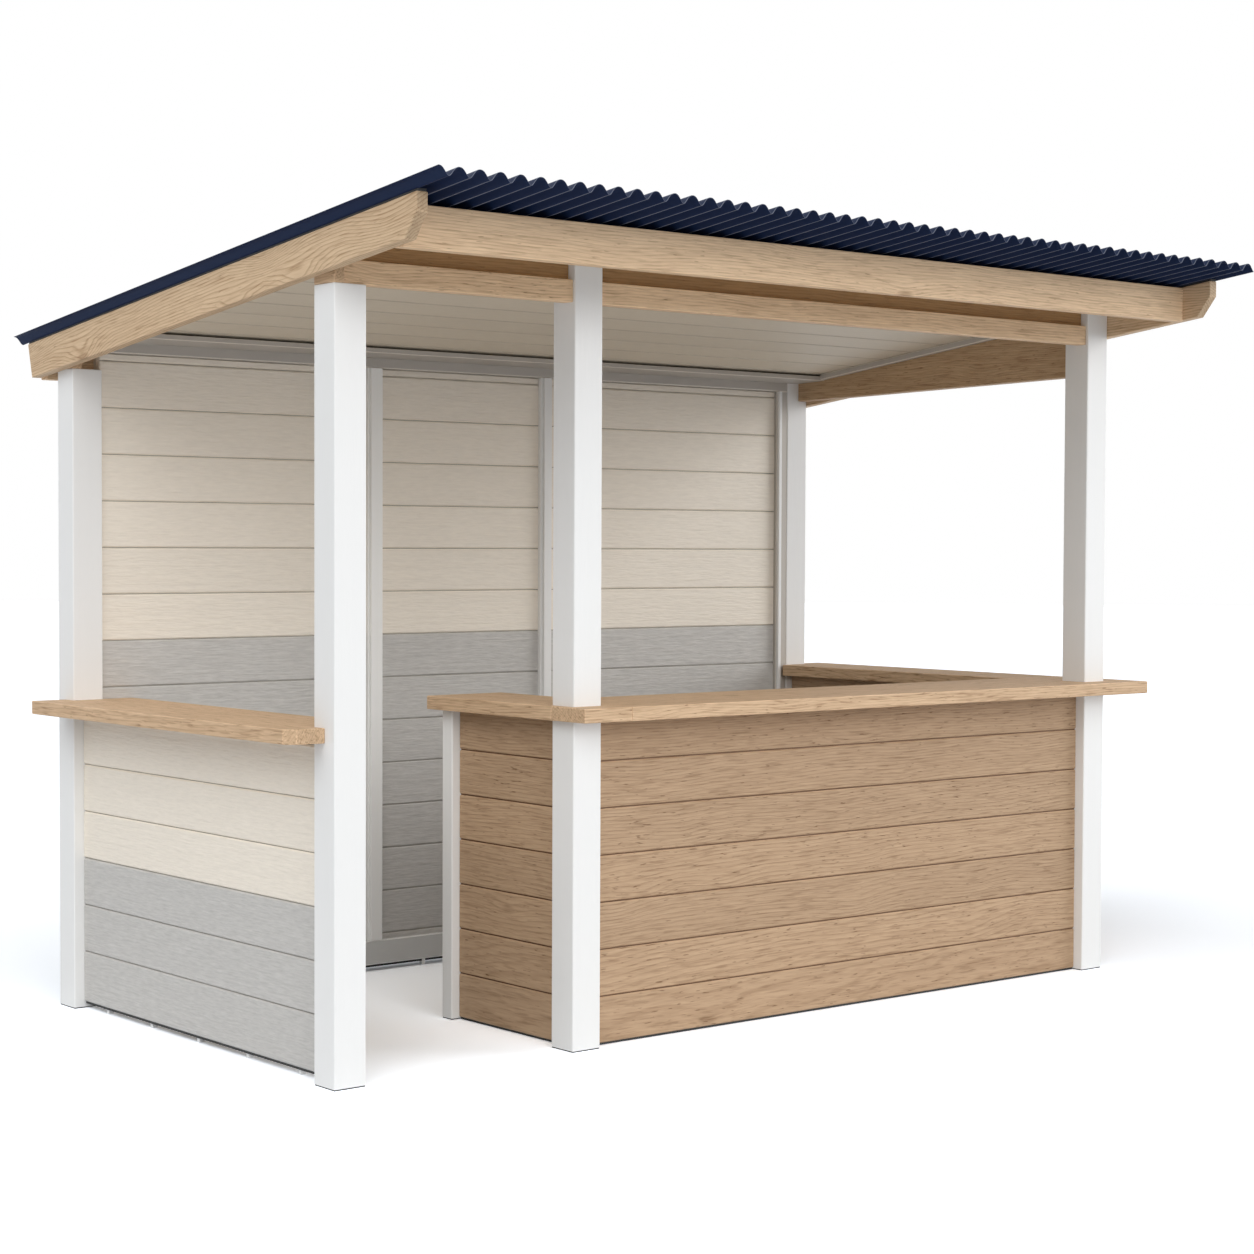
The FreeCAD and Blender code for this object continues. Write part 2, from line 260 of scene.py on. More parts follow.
def paintedWood(name, look):
    made = Finish(bpy.data.materials.new(name))
    grain = paintGrain
    here = made.place(look["turn"])
    bent = made.bend(here, made.noise(here, *grain["sway"]) * grain["bend"])
    streak = made.noise(bent, *grain["streak"])
    ridge = made.noise(bent, *grain["ridge"])
    cloud = made.noise(here, *grain["cloud"])
    tone = made.attribute("boardTone")
    wearAndPaintedLight = made.attribute("edgeWear")
    # eased edges move by edgeLift: a little wear and painted highlight, on trims a strong painted
    # highlight, on the ceiling painted shade
    level = (1.0 + streak * look["streak"] + ridge * look["ridge"] + cloud * look["cloud"]
             + tone * look["toneDepth"] + wearAndPaintedLight * look["edgeLift"])
    rough = look["rough"] + ridge * grain["ridgeRough"] - wearAndPaintedLight * grain["wornShine"]
    height = ridge + streak * grain["streakRise"]
    return made.coat(made.shade(look["colour"], level), rough, height, look["relief"],
                     grain["specular"])


# Rolled sheet: factory paint with faint streaks down the slope and a little dust
sheetGrain = {
    "streak": ((0.8, 60, 60), 3, 0.5),
    "cloud": ((1.5, 4, 4), 4, 0.5),
    "cloudDust": 0.8, "streakDust": 0.5, "evenDust": 0.1, "cloudRough": 0.12, "streakRough": 0.06,
}


def sheetSteel(name, look):
    made = Finish(bpy.data.materials.new(name))
    grain = sheetGrain
    here = made.place(look["turn"])
    streak = made.noise(here, *grain["streak"])
    cloud = made.noise(here, *grain["cloud"])
    wearAndPaintedLight = made.attribute("edgeWear")
    dust = (cloud * grain["cloudDust"] + streak * grain["streakDust"]
            + grain["evenDust"]).clamped()
    paint = made.mix(dust * look["dustDepth"], look["colour"], look["dust"])
    # marked faces take the edge colour: the bare cut rim, and a painted highlight line under each
    # crest
    colour = made.mix(wearAndPaintedLight * look["edgeShow"], paint, look["edge"])
    rough = look["rough"] + cloud * grain["cloudRough"] + streak * grain["streakRough"]
    return made.coat(colour, rough, streak, look["relief"], look["shine"])


oakLook = {
    "light": (0.69, 0.485, 0.305), "dark": (0.26, 0.14, 0.065),
    "ringPitch": 0.0075, "tilt": 0.02, "pith": 0.024, "sway": 0.07, "dive": 0.06, "ripple": 1.0,
    "knotPull": 0.03, "drift": 0.012, "ground": 0.13, "ringDepth": 0.2, "knotDepth": 0.55,
    "fleckDepth": 0.55, "fibreDepth": 0.8, "streakDepth": 0.4, "poreDepth": 0.35,
    "cloudDepth": 0.25, "toneDepth": 0.04, "edgeLift": 0.12, "rough": 0.6, "relief": 0.002,
}
boardLook = dict(oakLook, light=(0.53, 0.365, 0.23), dark=(0.2, 0.11, 0.052), ringPitch=0.009,
                 knotDepth=0.4, fibreDepth=0.6, streakDepth=0.35, poreDepth=0.28,
                 toneDepth=0.05, rough=0.65)
beamLook = dict(oakLook, light=(0.9, 0.65, 0.415), dark=(0.34, 0.19, 0.09), ground=0.12,
                ringPitch=0.009, fibreDepth=0.6, poreDepth=0.24, fleckDepth=0.4)
bargeLook = dict(beamLook, light=(0.76, 0.56, 0.36), ringPitch=0.008, ringDepth=0.45,
                 ripple=0.6, fibreDepth=0.5, sway=0.1, knotPull=0.06)
# the front plates' oak darkened as painted shade, for the shade they sit in under the fascia
paintedShadeLook = dict(beamLook, light=(0.46, 0.265, 0.115), dark=(0.19, 0.09, 0.03), edgeLift=0.0)
whiteLook = {"colour": (0.86, 0.86, 0.85), "streak": 0.02, "ridge": 0.012, "cloud": 0.02,
             "toneDepth": 0.01, "edgeLift": 0.03, "rough": 0.42, "relief": 0.0003}
creamLook = {"colour": (0.88, 0.81, 0.705), "streak": 0.16, "ridge": 0.07, "cloud": 0.04,
             "toneDepth": 0.02, "edgeLift": 0.04, "rough": 0.55, "relief": 0.003}
greyLook = dict(creamLook, colour=(0.56, 0.545, 0.52), streak=0.42, cloud=0.02)
# the trims' strong edgeLift paints a highlight along their arrises
trimLook = dict(whiteLook, colour=(0.5, 0.465, 0.42), edgeLift=0.5)
# the ceiling's negative edgeLift paints shade into the bevels of its grooves
ceilingLook = dict(creamLook, colour=(0.71, 0.63, 0.51), streak=0.12, ridge=0.08, edgeLift=-0.15,
                   relief=0.0008)
# near-black paint for pieces that stand in for shade: under the posts, in the barge gaps and under
# the walls
paintedShadowLook = dict(whiteLook, colour=(0.035, 0.035, 0.035), rough=0.8)
tongueLook = dict(creamLook, colour=(0.4, 0.37, 0.33))
navyLook = {"colour": (0.013, 0.0245, 0.067), "dust": (0.024, 0.034, 0.065), "dustDepth": 0.15,
            "edge": (0.17, 0.19, 0.25), "edgeShow": 0.75, "rough": 0.5, "relief": 0.0003,
            "shine": 0.05}

finishKinds = {
    "oakAlongX": (oak, dict(oakLook, turn=alongX)),
    "oakAlongY": (oak, dict(oakLook, turn=alongY)),
    "beamAlongX": (oak, dict(beamLook, turn=alongX)),
    "bargeDownSlope": (oak, dict(bargeLook, turn=downSlope)),
    "recessedAlongX": (oak, dict(paintedShadeLook, turn=alongX)),
    # the right gable board's oak darkened as painted shade
    "shadedAlongY": (oak, dict(oakLook, turn=alongY, light=(0.58, 0.4, 0.24))),
    "brownAlongX": (oak, dict(boardLook, turn=alongX)),
    "brownAlongY": (oak, dict(boardLook, turn=alongY)),
    "whiteUpright": (paintedWood, dict(whiteLook, turn=alongZ)),
    # white lifted above the rest of the paint as painted light, for the left batten in shade
    "battenUpright": (paintedWood, dict(whiteLook, turn=alongZ, colour=(0.95, 0.95, 0.93))),
    "creamAlongX": (paintedWood, dict(creamLook, turn=alongX)),
    "creamAlongY": (paintedWood, dict(creamLook, turn=alongY)),
    "greyAlongX": (paintedWood, dict(greyLook, turn=alongX)),
    "greyAlongY": (paintedWood, dict(greyLook, turn=alongY)),
    "trimAlongX": (paintedWood, dict(trimLook, turn=alongX)),
    "railAlongX": (paintedWood, dict(trimLook, turn=alongX, colour=(0.64, 0.64, 0.62))),
    # grey trim paint for the end batten's base, as painted shade beside the back right post
    "trimUpright": (paintedWood, dict(trimLook, turn=alongZ)),
    "trimDownSlope": (paintedWood, dict(trimLook, turn=downSlope)),
    "ceilingAlongX": (paintedWood, dict(ceilingLook, turn=alongX)),
    "paleTongue": (paintedWood, dict(tongueLook, turn=alongX)),
    "brownTongue": (paintedWood, dict(tongueLook, turn=alongX, colour=(0.17, 0.09, 0.045))),
    "darkPad": (paintedWood, dict(paintedShadowLook, turn=alongX)),
    "navySheet": (sheetSteel, dict(navyLook, turn=downSlope)),
}
finishes = {name: make(name, look) for name, (make, look) in finishKinds.items()}
print("garden bar: finishes ready,", len(finishes))

# How far a board's grain may start from its neighbour's, and how a CAD piece is merged
boardShift = {"along": 9, "across": 0.09, "into": 0.02}
merging = {"doubles": 0.00001, "flat": math.radians(1)}


class Piece:
    # a mesh in the making, whose faces know their board's tone, shift and eased edges; the
    # finishes light those edges as wear and painted highlight, and darken the ceiling's as painted
    # shade
    def __init__(self, name, finish, slot):
        self.name = name
        self.finish = finish
        self.slot = slot
        self.mesh = bmesh.new()
        self.tone = self.mesh.faces.layers.float.new("boardTone")
        self.shift = self.mesh.faces.layers.float_vector.new("boardShift")
        self.wearAndPaintedLight = self.mesh.faces.layers.float.new("edgeWear")
        self.chance = random.Random(name)

    def mark(self, faces, wearAndPaintedLight):
        # every board gets its own tone and its own part of the grain
        tone = self.chance.uniform(-1, 1)
        shift = Vector([self.chance.uniform(-reach, reach) for reach in boardShift.values()])
        for face in faces:
            face[self.tone] = tone
            face[self.shift] = shift
            face[self.wearAndPaintedLight] = 1.0 if face in wearAndPaintedLight else 0.0

    def soften(self, edges, radius, segments):
        if not radius:
            return set()
        made = bmesh.ops.bevel(self.mesh, geom=edges, offset=radius, offset_type="OFFSET",
                               segments=segments, profile=0.5, affect="EDGES",
                               clamp_overlap=True, material=-1)
        return set(made["faces"])

    def board(self, low, high, radius, segments):
        # one squared board between two corners, its edges eased
        before = set(self.mesh.faces)
        size = Vector(high) - Vector(low)
        middle = (Vector(high) + Vector(low)) / 2
        place = Matrix.Translation(middle) @ Matrix.Diagonal((*size, 1))
        corners = bmesh.ops.create_cube(self.mesh, size=1, matrix=place)["verts"]
        edges = list(dict.fromkeys(edge for corner in corners for edge in corner.link_edges))
        wearAndPaintedLight = self.soften(edges, radius, segments)
        self.mark([face for face in self.mesh.faces if face not in before], wearAndPaintedLight)

    def copy(self, node, radius, segments):
        # the CAD piece itself, merged, with its sharp edges eased
        source = bmesh.new()
        source.from_mesh(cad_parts[node].data)
        bmesh.ops.remove_doubles(source, verts=source.verts, dist=merging["doubles"])
        bmesh.ops.dissolve_limit(source, angle_limit=merging["flat"], verts=source.verts,
                                 edges=source.edges)
        plain = bpy.data.meshes.new("plain")
        source.to_mesh(plain)
        source.free()
        self.mesh.from_mesh(plain)
        bpy.data.meshes.remove(plain)
        wearAndPaintedLight = self.soften(self.mesh.edges[:], radius, segments)
        self.mark(self.mesh.faces, wearAndPaintedLight)

    def lowerTop(self, gap, band=0.02):
        # leaves a dark line between a sloping board and the sheet above it
        rise = {point: point.co.z + roofSlope * point.co.y for point in self.mesh.verts}
        top = max(rise.values())
        for point, level in rise.items():
            if level > top - band:
                point.co.z -= gap

    def shear(self, start):
        # lets everything follow the roof's fall to the rear, from a front line at start
        fall = Matrix.Identity(4)
        fall[2][1] = -roofSlope
        fall[2][3] = roofSlope * start
        bmesh.ops.transform(self.mesh, matrix=fall, verts=self.mesh.verts)

    def done(self, *nodes, smooth=False):
        bmesh.ops.recalc_face_normals(self.mesh, faces=self.mesh.faces)
        made = bpy.data.meshes.new(self.name)
        self.mesh.to_mesh(made)
        self.mesh.free()
        made.materials.append(finishes[self.finish])
        if smooth:
            made.shade_smooth()
        thing = bpy.data.objects.new(self.name, made)
        bpy.context.scene.collection.objects.link(thing)
        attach(thing, "root")
        if nodes:
            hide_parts(*nodes)
        return thing


# Posts: painted, a little off the ground on a dark foot that paints their contact shadow
posts = {
    "nodes": ["front_left_post", "back_left_post", "front_middle_post", "front_right_post",
              "back_right_post", "counter_end_post"],
    "edge": 0.004, "clear": 0.003, "footHeight": 0.0045, "footInset": 0.002,
}
for node in posts["nodes"]:
    low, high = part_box(node)
    piece = Piece(node + "_painted", "whiteUpright", "white_posts")
    piece.copy(node, posts["edge"], 3)
    for point in piece.mesh.verts:
        if point.co.z < low.z + posts["edge"]:
            point.co.z += posts["clear"]
    piece.done(node)
    # a near-black pad under each post, standing in for its contact shadow
    contactShadow = Piece(node + "_foot", "darkPad", "white_posts")
    inset = posts["footInset"]
    contactShadow.board((low.x + inset, low.y + inset, low.z),
               (high.x - inset, high.y - inset, low.z + posts["footHeight"]), 0, 1)
    contactShadow.done()

# Timbers: beams, tops and roof boards. A barge stays below the sheet by a gap holding a dark
# strip, which paints the shadow line there, and its end grain is a deeper tone
timbers = {
    "edge": 0.003, "bargeGap": 0.007, "fillerInset": 0.005, "endTone": -6.0, "endFacing": -0.3,
    "kinds": {
        "beamAlongX": ["front_beam_left", "front_beam_right", "back_beam", "front_fascia",
                       "back_fascia"],
        # the front plates take the oak darkened as painted shade
        "recessedAlongX": ["front_plate_left", "front_plate_right"],
        "oakAlongX": ["counter_corner_top", "front_counter_top"],
        "oakAlongY": ["left_wall_shelf", "left_return_top", "right_side_top",
                      "left_side_beam"],
        # the right gable board takes oak darkened as painted shade
        "shadedAlongY": ["right_gable_board"],
        "bargeDownSlope": ["left_barge_board", "right_barge_board"],
    },
}


def finishBarge(piece, node):
    piece.lowerTop(timbers["bargeGap"])
    for face in piece.mesh.faces:
        if face.normal.y < timbers["endFacing"]:
            face[piece.tone] = timbers["endTone"]
    low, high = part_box(node)
    # a near-black strip in the gap, standing in for the shadow line under the sheet
    shadowFiller = Piece(node + "_filler", "darkPad", "navy_sheet")
    inset = timbers["fillerInset"]
    shadowFiller.board((low.x + inset, low.y, high.z - timbers["bargeGap"]),
                 (high.x - inset, high.y, high.z), 0, 1)
    shadowFiller.shear(low.y)
    shadowFiller.done()


for finish, nodes in timbers["kinds"].items():
    for node in nodes:
        piece = Piece(node + "_oak", finish, "oak_timber")
        piece.copy(node, timbers["edge"], 2)
        if finish == "bargeDownSlope":
            finishBarge(piece, node)
        piece.done(node)
print("garden bar: posts, beams, tops and roof boards dressed")


# Cladding: horizontal boards with eased edges, and a fine dark gap between each two
def boardSpans(bottom, top, look):
    spans = []
    under = bottom
    joint = look["firstJoint"]
    while joint < top - look["gap"]:
        if joint > bottom + look["gap"]:
            spans.append((under, joint - look["gap"] / 2))
            under = joint + look["gap"] / 2
        joint += look["pitch"]
    spans.append((under, top))
    return spans


def colourAt(span, look):
    return "cream" if sum(span) / 2 > look["change"] else "grey"


tongueEdge = 0.001

halfWall = {"pitch": 0.16, "firstJoint": 0.196, "change": 0.516, "board": 0.016, "groove": 0.004,
            "gap": 0.003, "tongue": 0.007, "lift": 0.006}


def dressHalfWall():
    low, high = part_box("left_half_wall")
    thick = halfWall["board"]
    skins = ((low.x, low.x + thick), (high.x - thick, high.x))
    boards = {colour: Piece("half_wall_" + colour + "_boards", colour + "AlongY",
                            colour + "_boards") for colour in ("grey", "cream")}
    for under, over in boardSpans(low.z, high.z, halfWall):
        piece = boards[colourAt((under, over), halfWall)]
        for left, right in skins:
            piece.board((left, low.y, under), (right, high.y, over), halfWall["groove"], 1)
    for piece in boards.values():
        piece.done("left_half_wall")
    core = Piece("half_wall_tongues", "paleTongue", "grey_boards")
    core.board((low.x + halfWall["tongue"], low.y, low.z + halfWall["lift"]),
               (high.x - halfWall["tongue"], high.y, high.z), tongueEdge, 1)
    core.done("left_half_wall")


dressHalfWall()

counterWalls = {"pitch": 0.15, "firstJoint": 0.156, "board": 0.016, "groove": 0.0035,
                "gap": 0.0045, "tongue": 0.007, "lift": 0.004}


def dressCounterWall(node, finish, inward):
    low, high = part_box(node)
    thick = inward * counterWalls["board"]
    size = high - low
    across = inward * size.dot(inward)
    piece = Piece(node + "_boards", finish, "brown_boards")
    for under, over in boardSpans(low.z, high.z, counterWalls):
        for near in (low, low + across - thick):
            far = near + size - across + thick
            piece.board((near.x, near.y, under), (far.x, far.y, over),
                        counterWalls["groove"], 1)
    piece.done(node)
    core = Piece(node + "_tongues", "brownTongue", "brown_boards")
    back = inward * counterWalls["tongue"]
    core.board(low + back + Vector((0, 0, counterWalls["lift"])), high - back, tongueEdge, 1)
    core.done(node)


dressCounterWall("front_counter_panel", "brownAlongX", Vector((0, 1, 0)))
dressCounterWall("left_return_panel", "brownAlongY", Vector((1, 0, 0)))
dressCounterWall("right_side_panel", "brownAlongY", Vector((1, 0, 0)))

backWall = {"pitch": 0.16, "firstJoint": 0.134, "change": 1.254, "board": 0.018,
            "groove": 0.004, "gap": 0.003, "tongue": 0.007, "lift": 0.006, "liningEdge": 0.003}


def dressBay(bay):
    # the inner boards stop under the band, the outer ones run up to the header
    node = "back_wall_" + bay + "_bay"
    low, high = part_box(node)
    thick = backWall["board"]
    boards = {colour: Piece(bay + "_bay_" + colour + "_boards", colour + "AlongX",
                            colour + "_boards") for colour in ("grey", "cream")}
    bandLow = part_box("back_wall_band")[0]
    skins = ((low.y, low.y + thick, bandLow.z), (high.y - thick, high.y, high.z))
    for near, far, top in skins:
        for under, over in boardSpans(low.z, top, backWall):
            piece = boards[colourAt((under, over), backWall)]
            piece.board((low.x, near, under), (high.x, far, over), backWall["groove"], 1)
    for piece in boards.values():
        piece.done(node)
    core = Piece(bay + "_bay_tongues", "paleTongue", "cream_boards")
    core.board((low.x, low.y + backWall["tongue"], low.z + backWall["lift"]),
               (high.x, high.y - backWall["tongue"], high.z), tongueEdge, 1)
    core.done(node)


def lineHeader():
    low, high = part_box("back_wall_header")
    fall = roofSlope * (high.y - low.y)
    head = Piece("back_wall_header_lining", "creamAlongX", "grey_trim")
    head.board((low.x, low.y + backWall["board"], low.z), (high.x, high.y, high.z - fall),
               backWall["liningEdge"], 1)
    head.done("back_wall_header")


for bay in ("left", "middle", "right"):
    dressBay(bay)
lineHeader()
print("garden bar: walls and counter clad")

# Battens over the seams: a flat base with a narrower strip on its face, inset at left and right
battens = {"base": 0.017, "edge": 0.002, "strips": {
    # the left batten's lighter white is painted light
    "back_wall_left_batten": (0.012, 0.0, "battenUpright", "battenUpright"),
    "back_wall_right_batten": (0.02, 0.006, "whiteUpright", "whiteUpright"),
    # the end batten's grey base is painted shade
    "back_wall_end_batten": (0.006, 0.04, "trimUpright", "whiteUpright")}}
for node, (leftInset, rightInset, baseFinish, stripFinish) in battens["strips"].items():
    low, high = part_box(node)
    step = high.y - battens["base"]
    base = Piece(node + "_base", baseFinish, "white_posts")
    base.board((low.x + leftInset / 2, step, low.z), high, battens["edge"], 2)
    base.done(node)
    piece = Piece(node + "_moulding", stripFinish, "white_posts")
    piece.board((low.x + leftInset, low.y, low.z), (high.x - rightInset, step, high.z),
                battens["edge"], 2)
    piece.done(node)

# Painted trims: the ledge stays below the ceiling by a dark gap
trims = {"edge": 0.004, "ledgeGap": 0.006, "kinds": {
    "railAlongX": ["back_wall_bottom_rail"],
    "trimAlongX": ["back_wall_band", "back_wall_ledge"],
    "trimDownSlope": ["ceiling_edge_trim"]}}
for finish, nodes in trims["kinds"].items():
    for node in nodes:
        piece = Piece(node + "_painted", finish, "grey_trim")
        piece.copy(node, trims["edge"], 2)
        if node == "back_wall_ledge":
            piece.lowerTop(trims["ledgeGap"])
        piece.done(node)

# A dark strip under each wall, a little behind its faces, painting the wall's contact shadow, on
# small white packers
pads = {"length": 0.014, "width": 0.02, "edge": 0.001, "clear": 0.0005, "inset": 0.005,
        "strip": 0.008, "stripClear": 0.001, "every": {
            "left_half_wall": 0.3, "left_return_panel": 0.3, "front_counter_panel": 0.55,
            "right_side_panel": 0.4, "back_wall_bottom_rail": 0.5}}


def layPads(node, every):
    low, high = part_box(node)
    inset = Vector((pads["inset"], pads["inset"], 0))
    strip = Piece(node + "_strip", "darkPad", "grey_boards")
    strip.board(Vector((low.x, low.y, max(pads["stripClear"], low.z - pads["strip"]))) + inset,
                Vector((high.x, high.y, low.z)) - inset, 0, 1)
    strip.done()
    size = high - low
    along = Vector((1, 0, 0) if size.x > size.y else (0, 1, 0))
    half = (along * pads["length"] + Vector((along.y, along.x, 0)) * pads["width"]) / 2
    run = size.dot(along)
    count = int(run / every)
    piece = Piece(node + "_packers", "whiteUpright", "white_posts")
    for number in range(count):
        place = (low + high) / 2 + along * run * ((number + 0.5) / count - 0.5)
        piece.board((place.x - half.x, place.y - half.y, pads["clear"]),
                    (place.x + half.x, place.y + half.y, low.z), pads["edge"], 1)
    piece.done()


for node, every in pads["every"].items():
    layPads(node, every)
print("garden bar: battens, trims and packers set")

# Ceiling boards run across the roof's width and follow its fall
ceiling = {"pitch": 0.168, "firstJoint": 0.102, "groove": 0.006, "gap": 0.003}


def dressCeiling():
    low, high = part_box("roof_deck")
    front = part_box("front_left_post")[0].y
    thick = high.z - low.z - roofSlope * (high.y - low.y)
    level = frontPost[1].z
    piece = Piece("roof_deck_boards", "ceilingAlongX", "ceiling_boards")
    edges = [low.y]
    joint = front + ceiling["firstJoint"]
    while joint > low.y + ceiling["pitch"] / 2:
        joint -= ceiling["pitch"]
    while joint < high.y:
        if joint > low.y:
            edges.append(joint)
        joint += ceiling["pitch"]
    edges.append(high.y)
    for near, far in zip(edges, edges[1:]):
        gapNear = ceiling["gap"] / 2 if near > low.y else 0
        gapFar = ceiling["gap"] / 2 if far < high.y else 0
        piece.board((low.x, near + gapNear, level), (high.x, far - gapFar, level + thick),
                    ceiling["groove"], 1)
    piece.shear(front)
    piece.done("roof_deck")


dressCeiling()
print("garden bar: ceiling boarded")

# Roof: four corrugated sheets, each lapping its neighbour by one corrugation
roof = {"crests": 51, "halves": 103, "sheets": 4, "thick": 0.0012, "lapLift": 0.0008, "steps": 24,
        "fullCrest": 0.16, "cutEdge": 0.004, "rimFacing": -0.05, "sharp": math.radians(40)}
sheetLow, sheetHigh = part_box("roof_sheet")
sheetDepth = sheetHigh.y - sheetLow.y
sheetRise = sheetHigh.z - sheetLow.z - roofSlope * sheetDepth
crestPitch = 2 * (sheetHigh.x - sheetLow.x) / roof["halves"]


def layCorrugation(piece, start, last, lift):
    span = (last - start) * crestPitch
    place = Matrix.Translation((sheetLow.x + start * crestPitch + span / 2,
                                sheetLow.y + sheetDepth / 2, 0))
    size = Matrix.Diagonal((span / 2, sheetDepth / 2, 1, 1))
    bmesh.ops.create_grid(piece.mesh, x_segments=int((last - start) * roof["steps"]),
                          y_segments=1, size=1, matrix=place @ size)
    swing = (sheetRise - roof["thick"] - roof["lapLift"]) / 2
    for point in piece.mesh.verts:
        turn = 2 * math.pi * (point.co.x - sheetLow.x) / crestPitch
        crest = math.cos(turn) + roof["fullCrest"] * (1 - math.cos(2 * turn))
        point.co.z = swing * crest
    bmesh.ops.solidify(piece.mesh, geom=piece.mesh.faces[:], thickness=roof["thick"])
    highest = max(point.co.z for point in piece.mesh.verts)
    raised = Matrix.Translation((0, 0, sheetHigh.z - lift - highest))
    bmesh.ops.transform(piece.mesh, matrix=raised, verts=piece.mesh.verts)


def showEdges(piece):
    # the cut front rim shows bare metal, and the underside of each crest gets a painted highlight
    # line
    cut = sheetLow.y + roof["cutEdge"]
    parts = piece.mesh.verts[:] + piece.mesh.edges[:] + piece.mesh.faces[:]
    bmesh.ops.bisect_plane(piece.mesh, geom=parts, plane_co=(0, cut, 0), plane_no=(0, 1, 0))
    bmesh.ops.recalc_face_normals(piece.mesh, faces=piece.mesh.faces)
    wearAndPaintedLight = set()
    for face in piece.mesh.faces:
        middle = face.calc_center_median()
        phase = ((middle.x - sheetLow.x) / crestPitch) % 1
        rim = middle.y < cut and face.normal.z > roof["rimFacing"]
        underRidge = (face.normal.z < 0 and abs(phase - 0.5) < 1 / roof["steps"]
                      and middle.x > sheetLow.x + crestPitch)
        if rim or underRidge:
            wearAndPaintedLight.add(face)
    piece.mark(piece.mesh.faces, wearAndPaintedLight)


first = 0
for number in range(roof["sheets"]):
    last = round(roof["crests"] * (number + 1) / roof["sheets"])
    if number == roof["sheets"] - 1:
        last = roof["halves"] / 2
    piece = Piece("roof_sheet_%d" % (number + 1), "navySheet", "navy_sheet")
    layCorrugation(piece, max(0, first - 1), last, roof["lapLift"] * (1 - number % 2))
    showEdges(piece)
    piece.shear(sheetLow.y)
    thing = piece.done(*(["roof_sheet"] if number == 0 else []), smooth=True)
    thing.data.set_sharp_from_angle(angle=roof["sharp"])
    first = last

# Screws: hexagon heads on washers, on every third crest
screws = {"rows": (0.5, 1.25, 2.0), "every": 3, "seat": 0.002,
          "washer": {"segments": 12, "radius1": 0.0105, "radius2": 0.0084, "depth": 0.003},
          "head": {"segments": 6, "radius1": 0.0056, "radius2": 0.0049, "depth": 0.006}}


def dressScrews():
    washer = screws["washer"]
    head = screws["head"]
    piece = Piece("roof_screws", "navySheet", "navy_sheet")
    for row in screws["rows"]:
        for crest in range(1, roof["crests"], screws["every"]):
            here = Vector((sheetLow.x + crest * crestPitch, sheetLow.y + row,
                           sheetHigh.z - screws["seat"]))
            level = washer["depth"] / 2
            for part in (washer, head):
                bmesh.ops.create_cone(piece.mesh, cap_ends=True,
                                      matrix=Matrix.Translation(here + Vector((0, 0, level))),
                                      **part)
                level = washer["depth"] + head["depth"] / 2
    piece.mark(piece.mesh.faces, set())
    piece.shear(sheetLow.y)
    piece.done()


dressScrews()
print("garden bar: roof sheets and screws laid")

# Stage: a pale floor that keeps the shadow, with a white surround for the eye and reflections
stage = {"floor": 60.0, "floorSeen": (1.55, 1.61, 1.69), "floorColour": (0.77, 0.8, 0.84),
         "sky": 0.07}


def seenByEye(made):
    camera, glossy, through = [
        made.node("ShaderNodeLightPath", output=name)
        for name in ("Is Camera Ray", "Is Glossy Ray", "Is Transmission Ray")]
    return camera.maths("MAXIMUM", glossy).maths("MAXIMUM", through)


def layFloor():
    disc = bmesh.new()
    bmesh.ops.create_circle(disc, cap_ends=True, segments=96, radius=stage["floor"])
    mesh = bpy.data.meshes.new("floor")
    disc.to_mesh(mesh)
    disc.free()
    made = Finish(bpy.data.materials.new("paleFloor"))
    pale = made.mix(seenByEye(made), stage["floorColour"], stage["floorSeen"])
    matt = made.node("ShaderNodeBsdfDiffuse", values={"Color": pale})
    made.node("ShaderNodeOutputMaterial", values={"Surface": matt})
    mesh.materials.append(made.owner)
    floor = bpy.data.objects.new("floor", mesh)
    bpy.context.scene.collection.objects.link(floor)


def lightSky():
    world = bpy.data.worlds.new("studio")
    bpy.context.scene.world = world
    made = Finish(world)
    strength = stage["sky"] + seenByEye(made) * (1 - stage["sky"])
    glow = made.node("ShaderNodeBackground", values={"Color": (1, 1, 1, 1),
                                                     "Strength": strength})
    made.node("ShaderNodeOutputWorld", values={"Surface": glow})


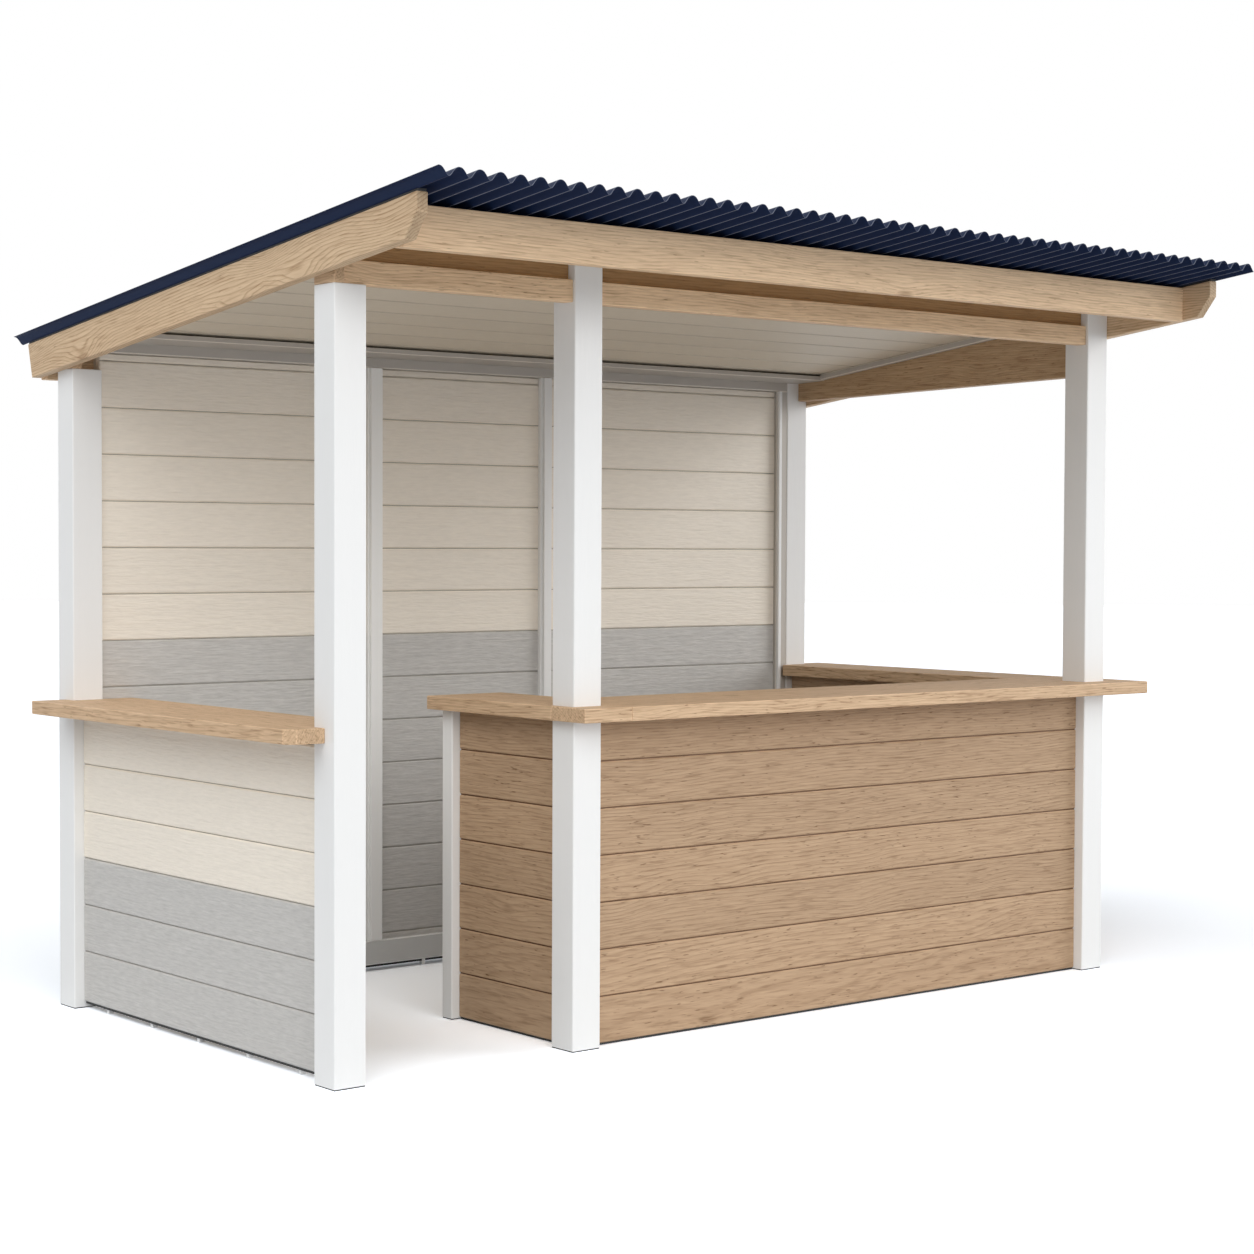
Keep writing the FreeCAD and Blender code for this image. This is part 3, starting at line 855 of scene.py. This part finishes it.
# Lamps: broad and far, each to the left of the front where its side is positive
lamps = [
    {"name": "mainLamp", "strength": 0.84, "angle": 55, "side": 28, "height": 34},
    {"name": "leftLamp", "strength": 1.42, "angle": 58, "side": 80, "height": 42},
    {"name": "rightLamp", "strength": 1.6, "angle": 40, "side": -60, "height": 15},
    {"name": "lowLamp", "strength": 0.57, "angle": 30, "side": 8, "height": 16},
    {"name": "rearLamp", "strength": 0.4, "angle": 60, "side": 165, "height": 35},
]


def hangLamp(look):
    light = bpy.data.lights.new(look["name"], "SUN")
    light.energy = look["strength"]
    light.angle = math.radians(look["angle"])
    side = math.radians(look["side"])
    height = math.radians(look["height"])
    toLamp = Vector((-math.sin(side) * math.cos(height), -math.cos(side) * math.cos(height),
                     math.sin(height)))
    lamp = bpy.data.objects.new(look["name"], light)
    lamp.rotation_mode = "QUATERNION"
    lamp.rotation_quaternion = toLamp.to_track_quat("Z", "Y")
    bpy.context.scene.collection.objects.link(lamp)


# Camera: found from the photograph's straight edges, for a square picture
camera = {"fromPost": (-3.8747, -6.0395, 1.5901), "yaw": 39.44, "pitch": 1.9004,
          "roll": 0.2317, "lens": 70.937, "sensor": 36, "reach": 200}


def setCamera():
    yaw = math.radians(camera["yaw"])
    pitch = math.radians(camera["pitch"])
    roll = math.radians(camera["roll"])
    ahead = Vector((math.sin(yaw) * math.cos(pitch), math.cos(yaw) * math.cos(pitch),
                    -math.sin(pitch)))
    right = Vector((math.cos(yaw), -math.sin(yaw), 0))
    up = right.cross(ahead)
    turnedRight = right * math.cos(roll) + up * math.sin(roll)
    turnedUp = up * math.cos(roll) - right * math.sin(roll)
    lens = bpy.data.cameras.new("photoCamera")
    lens.lens = camera["lens"]
    lens.sensor_width = camera["sensor"]
    lens.clip_end = camera["reach"]
    eye = bpy.data.objects.new("photoCamera", lens)
    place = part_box("front_left_post")[0] + Vector(camera["fromPost"])
    eye.matrix_world = (Matrix.Translation(place)
                        @ Matrix((turnedRight, turnedUp, -ahead)).transposed().to_4x4())
    bpy.context.scene.collection.objects.link(eye)
    bpy.context.scene.camera = eye


layFloor()
lightSky()
for look in lamps:
    hangLamp(look)
setCamera()
bpy.context.scene.view_settings.view_transform = "Standard"
print("garden bar: stage, light and camera set")
